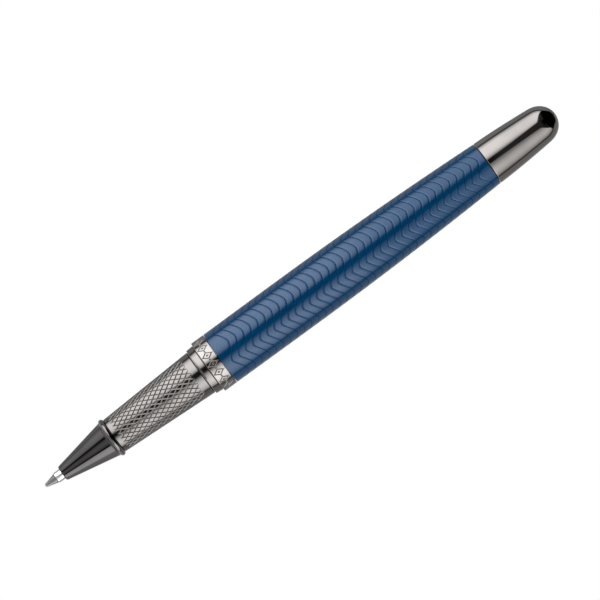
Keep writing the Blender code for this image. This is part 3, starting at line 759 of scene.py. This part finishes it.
def make_grip():
    """The tapered sleeve. Two crossing sets of helical V grooves leave curved diamond pads between them."""
    start, end = low("grip_sleeve"), high("grip_sleeve")
    cut_start, cut_end = start + LATTICE_FRONT, end - LATTICE_REAR
    rows = int((cut_end - cut_start) / LATTICE_PITCH * 2) + 1
    knots = lattice_knots()
    build = bmesh.new()
    for row in range(-SPARE_ROWS, rows + SPARE_ROWS):
        for column in range(row % 2, 2 * LATTICE_STARTS, 2):
            add_diamond(build, knots, row, column, cut_start, cut_end)
    bmesh.ops.remove_doubles(build, verts=build.verts, dist=WELD_METRES)
    trim_beyond(build, cut_start, -1)
    trim_beyond(build, cut_end, 1)
    rear_bore = widest("section_connector") - GRIP_REAR_BORE_STEP
    front_bore = GRIP_FRONT_R - GRIP_FRONT_WALL
    rear = add_grip_end(build, cut_end, LATTICE_MARGIN, end, GRIP_REAR_EDGE, rear_bore)
    front = add_grip_end(build, cut_start, -LATTICE_MARGIN, start, GRIP_FRONT_EDGE, front_bore)
    bmesh.ops.bridge_loops(build, edges=rear + front)
    bmesh.ops.recalc_face_normals(build, faces=build.faces)
    mesh = mesh_from(build, "grip_lattice")
    add_piece("grip_lattice", mesh, "section", ["gunmetal_grip"], "grip_sleeve", 15)


# ---------------------------------------------------------------- collar and band

COLLAR_STEP = 0.11
COLLAR_FRONT_EDGE_R = 0.10
COLLAR_REAR_EDGE_R = 0.16
COLLAR_WALL = 0.45

BAND_WALL = 0.78
BAND_FRONT_EDGE_R = 0.12
BAND_REAR_EDGE = ((0.0, -0.10), (0.0, -0.06), (-0.02, -0.03), (-0.06, 0.0))
BAND_COLUMNS = 1080
BAND_ROWS = 56
BAND_UNITS = 18
BAND_DEPTH = 0.07
BAND_STROKE = 0.19
BAND_FLANK = 0.05
BAND_FLOOR_SHARE = 0.6
FRIEZE_FRONT = 0.34
FRIEZE_REAR = 0.50
FRIEZE_MARGIN = 0.04
LOZENGE_WIDTH = 0.34
CORE_SHARE = 0.30
CORE_SLOPE = 0.3
DOT_R = 0.17
SURFACE_SLACK = 0.01
BORE_SIDE = 0.2


def make_collar():
    start, end, rear_r = low("collar_ring"), high("collar_ring"), widest("collar_ring")
    front_edge = rear_r - COLLAR_STEP - COLLAR_FRONT_EDGE_R
    rear_edge = rear_r - COLLAR_REAR_EDGE_R
    outline = [
        *arc(front_edge, start + COLLAR_FRONT_EDGE_R, COLLAR_FRONT_EDGE_R, -90, 0, 5),
        *arc(rear_edge, end - COLLAR_REAR_EDGE_R, COLLAR_REAR_EDGE_R, 0, 90, 6),
        (rear_r - COLLAR_WALL, end),
        (rear_r - COLLAR_WALL, start),
    ]
    add_turned("collar", outline, "barrel", "gunmetal", "collar_ring", 40)


def band_depth(turn, up, half, radius):
    """Engraving: a row of upright lozenge outlines, with a small diamond in each and a dot between."""
    unit = 2 * math.pi / BAND_UNITS
    across = abs((turn % unit) - unit / 2) * radius
    up = abs(up)
    wide, tall = LOZENGE_WIDTH * unit * radius, half
    outline = abs(across / wide + up / tall - 1) * wide * tall / math.hypot(wide, tall)
    core = (across / (wide * CORE_SHARE) + up / (tall * CORE_SHARE) - 1) * CORE_SLOPE
    dot = math.hypot(unit * radius / 2 - across, up) - DOT_R
    near = min(outline - BAND_STROKE / 2, core, dot)
    return BAND_DEPTH * min(1.0, max(0.0, -near / BAND_FLANK))


def make_band():
    """The wide trim band, with a generic engraved frieze and a chamfer towards the barrel."""
    start, end, radius = low("trim_band"), high("trim_band"), widest("trim_band")
    bore = radius - BAND_WALL
    frieze_low, frieze_high = start + FRIEZE_FRONT, end - FRIEZE_REAR
    middle, half = (frieze_low + frieze_high) / 2, (frieze_high - frieze_low) / 2
    heights = spaced(frieze_low - FRIEZE_MARGIN, frieze_high + FRIEZE_MARGIN, BAND_ROWS)
    outline = [
        (bore, start),
        *arc(radius - BAND_FRONT_EDGE_R, start + BAND_FRONT_EDGE_R, BAND_FRONT_EDGE_R, -90, 0, 4),
        *[(radius, z) for z in heights],
        *edge_points(radius, end, BAND_REAR_EDGE),
        (bore, end),
    ]
    mesh = ring_mesh("band_engraved", outline, BAND_COLUMNS)

    def in_frieze(vert):
        return heights[0] <= vert.co.z / MM <= heights[-1]

    for vert in mesh.vertices:
        if not in_frieze(vert) or off_axis(vert.co) / MM < radius - SURFACE_SLACK:
            continue
        turn = math.atan2(vert.co.y, vert.co.x) % (2 * math.pi)
        deep = band_depth(turn, vert.co.z / MM - middle, half, radius)
        vert.co.x *= (radius - deep) / radius
        vert.co.y *= (radius - deep) / radius
    add_piece("band_engraved", mesh, "barrel", ["gunmetal_bright", "groove"], "trim_band", 60)
    floor_r = (radius - BAND_FLOOR_SHARE * BAND_DEPTH) * MM
    for face in mesh.polygons:
        corners = [mesh.vertices[index] for index in face.vertices]
        sunk = all(off_axis(vert.co) < floor_r and in_frieze(vert) for vert in corners)
        face.material_index = int(sunk and off_axis(face.center) > (radius - BORE_SIDE) * MM)


# ---------------------------------------------------------------- barrel

BARREL_FRONT_R = 5.975
BARREL_SWELL = 0.04
BARREL_SWELL_LENGTH = 20.0
BARREL_TAPER = 1.15
BARREL_SEAM = 0.07
BARREL_EDGE = 0.04
BARREL_WALL = 0.75
BARREL_COLUMNS = 240
WAVE_COUNT = 5
WAVE_LINES = 36
WAVE_PITCH = 1.794
WAVE_FIRST = 2.63
WAVE_HEIGHT = 1.70
WAVE_TURN = -19.0
WAVE_WIDTH = 0.32
WAVE_DEPTH = 0.030
WAVE_CREST = 0.95
WAVE_ROUNDING = 0.012
CUT_SHARE = 0.5
# Across a wave's groove: (share of half its width, share of its depth). Between grooves: share of the way.
WAVE_PROFILE = ((-1.0, 0.0), (-0.82, 0.12), (-0.45, 0.8), (0.0, 1.0), (0.45, 0.8), (0.82, 0.12), (1.0, 0.0))
WAVE_BETWEEN = (0.25, 0.5, 0.75)
# The plain front: (distance from the front end, how much the row follows the wave). The plain rear has the
# share of the way from the last wave to the rear end instead of the distance.
FRONT_ROWS = ((0.0, 0.0), (0.05, 0.0), (0.09, 0.0), (0.8, 0.15), (1.4, 0.5), (2.0, 0.85))
REAR_ROWS = ((0.3, 0.85), (0.55, 0.5), (0.8, 0.15), (0.945, 0.0), (0.97, 0.0), (1.0, 0.0))


def barrel_radius(z):
    """A faint swell towards the band, then a taper that quickens towards the finial."""
    start, end = low("barrel_tube"), high("barrel_tube")
    crest = start + BARREL_SWELL_LENGTH
    top = BARREL_FRONT_R + BARREL_SWELL
    if z < crest:
        return top - BARREL_SWELL * ((crest - z) / BARREL_SWELL_LENGTH) ** 2
    return top - BARREL_TAPER * ((z - crest) / (end - crest)) ** 2


def wave(turn):
    """The engraved line's height round the barrel, from -1 to 1: round peaks and sharper troughs."""
    phase = WAVE_COUNT * (turn - math.radians(WAVE_TURN - 90))
    triangle = math.asin(WAVE_CREST * math.cos(phase)) / math.asin(WAVE_CREST)
    scallop = 2 * math.sqrt(math.cos(phase / 2) ** 2 + WAVE_ROUNDING) - 1
    return 0.5 * triangle + 0.5 * scallop


def barrel_rows(start, end):
    """Rows from front to rear: (z, share of the groove's depth, how far it follows the wave, in a groove)."""
    half = WAVE_WIDTH / 2
    last = start + WAVE_FIRST + WAVE_PITCH * (WAVE_LINES - 1)
    rows = [(start + along, 0.0, keep, False) for along, keep in FRONT_ROWS]
    for line in range(WAVE_LINES):
        middle = start + WAVE_FIRST + WAVE_PITCH * line
        rows += [(middle + half * across, share, 1.0, True) for across, share in WAVE_PROFILE]
        if line < WAVE_LINES - 1:
            gap = WAVE_PITCH - WAVE_WIDTH
            rows += [(middle + half + gap * t, 0.0, 1.0, False) for t in WAVE_BETWEEN]
    return rows + [(last + (end - last) * t, 0.0, keep, False) for t, keep in REAR_ROWS]


def make_barrel():
    """The lacquered tube, cut with wavy lines that nest up its length, and plain at both ends."""
    start, end = low("barrel_tube") + BARREL_SEAM, high("barrel_tube") - BARREL_SEAM
    rows = barrel_rows(start, end)
    turns = ring_turns(BARREL_COLUMNS)
    build = bmesh.new()
    rings = []
    for row in rows:
        z, share, keep, _ = row
        inset = WAVE_DEPTH * share + (BARREL_EDGE if row in (rows[0], rows[-1]) else 0.0)
        ring = []
        for turn in turns:
            place = z + keep * WAVE_HEIGHT / 2 * wave(turn)
            ring.append(build.verts.new(on_ring(barrel_radius(place) - inset, turn, place)))
        rings.append(ring)
    for z in (end, start):
        bore = barrel_radius(z) - BARREL_WALL
        rings.append([build.verts.new(on_ring(bore, turn, z)) for turn in turns])
    for index, ring in enumerate(rings):
        above = rings[(index + 1) % len(rings)]
        pair = rows[index:index + 2]
        cut = len(pair) == 2 and all(row[3] for row in pair) and pair[0][1] + pair[1][1] > CUT_SHARE
        for column in range(BARREL_COLUMNS):
            after = (column + 1) % BARREL_COLUMNS
            face = build.faces.new((ring[column], ring[after], above[after], above[column]))
            face.material_index = int(cut)
    bmesh.ops.recalc_face_normals(build, faces=build.faces)
    mesh = mesh_from(build, "barrel_waves")
    add_piece("barrel_waves", mesh, "barrel", ["lacquer", "lacquer_deep"], "barrel_tube", 60)


# ---------------------------------------------------------------- finial

FINIAL_EXTRA = 0.02
FINIAL_DOME = 4.45
FINIAL_DOME_POWER = 2.5
FINIAL_TAPER = 0.76
FINIAL_TAPER_POWER = 1.5
FINIAL_WALL = 0.86
FINIAL_BORE = 5.5
FINIAL_FACE_EDGE = ((-0.14, 0.0), (-0.03, 0.06))
FINIAL_EDGE_END = 0.14
FINIAL_FLANK_START = 0.20


def finial_radius(z):
    """A slow taper that closes in a rounded dome."""
    start, end = low("finial"), high("finial")
    shank = end - start - FINIAL_DOME
    along = max(z - start, 0.0)
    taper = widest("finial") + FINIAL_EXTRA - FINIAL_TAPER * (along / shank) ** FINIAL_TAPER_POWER
    into = min(max(along - shank, 0.0) / FINIAL_DOME, 1.0)
    return taper * math.sqrt(max(1 - into ** FINIAL_DOME_POWER, 0.0))


def make_finial():
    """A bullet-shaped end, hollow towards the barrel, with a fine edge at the seam."""
    start, end = low("finial"), high("finial")
    seam = widest("finial") + FINIAL_EXTRA
    dome_start = end - FINIAL_DOME
    dome = [dome_start + FINIAL_DOME * math.sin(math.radians(angle)) for angle in spaced(0, 90, 40)]
    flank = spaced(start + FINIAL_FLANK_START, dome_start, 36)
    outline = [
        (0, start + FINIAL_BORE),
        (seam - FINIAL_WALL, start + FINIAL_BORE),
        (seam - FINIAL_WALL, start),
        *edge_points(seam, start, FINIAL_FACE_EDGE),
        *[(finial_radius(z), z) for z in [start + FINIAL_EDGE_END] + flank + dome[1:-1]],
        (0, end),
    ]
    add_turned("finial_dome", outline, "barrel", "gunmetal_bright", "finial", 14)


# ---------------------------------------------------------------- inner pieces

INNER_FINISH = {
    "section_connector": "brass",
    # The barrel bush shows in the thin joint gap between the grip and the collar. Its dark colour is painted
    # shade that stands in for the shadow in that gap.
    "barrel_bush": "dark_gunmetal",
    "joint_o_ring": "black_rubber",
    "tip_holder": "black_plastic",
    "refill_plug": "black_plastic",
    "tail_bush": "black_plastic",
    "ink_reservoir": "grey_plastic",
    "ink_wick": "fibre",
    "ink_filler": "fibre",
    "tail_washer": "bright_steel",
    "tail_spring": "bright_steel",
}


def finish_inner_pieces():
    for node, finish in INNER_FINISH.items():
        piece = frame["nodes"][node]
        if not piece.material_slots:
            piece.data.materials.append(MATERIALS[finish])
        for slot in piece.material_slots:
            slot.material = MATERIALS[finish]


def squash_spring():
    """Gives the tail spring a mesh of its own; the spring is not shortened."""
    spring, seat = frame["nodes"]["tail_spring"], high("tail_spring")
    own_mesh(spring)


bpy.context.scene.view_settings.view_transform = "Standard"
make_camera()
make_world()
make_floor()
MATERIALS = make_materials()
make_ball()
make_point()
make_tip_tube()
make_nose()
make_bead()
make_grip()
make_collar()
make_band()
make_barrel()
make_finial()
finish_inner_pieces()
squash_spring()
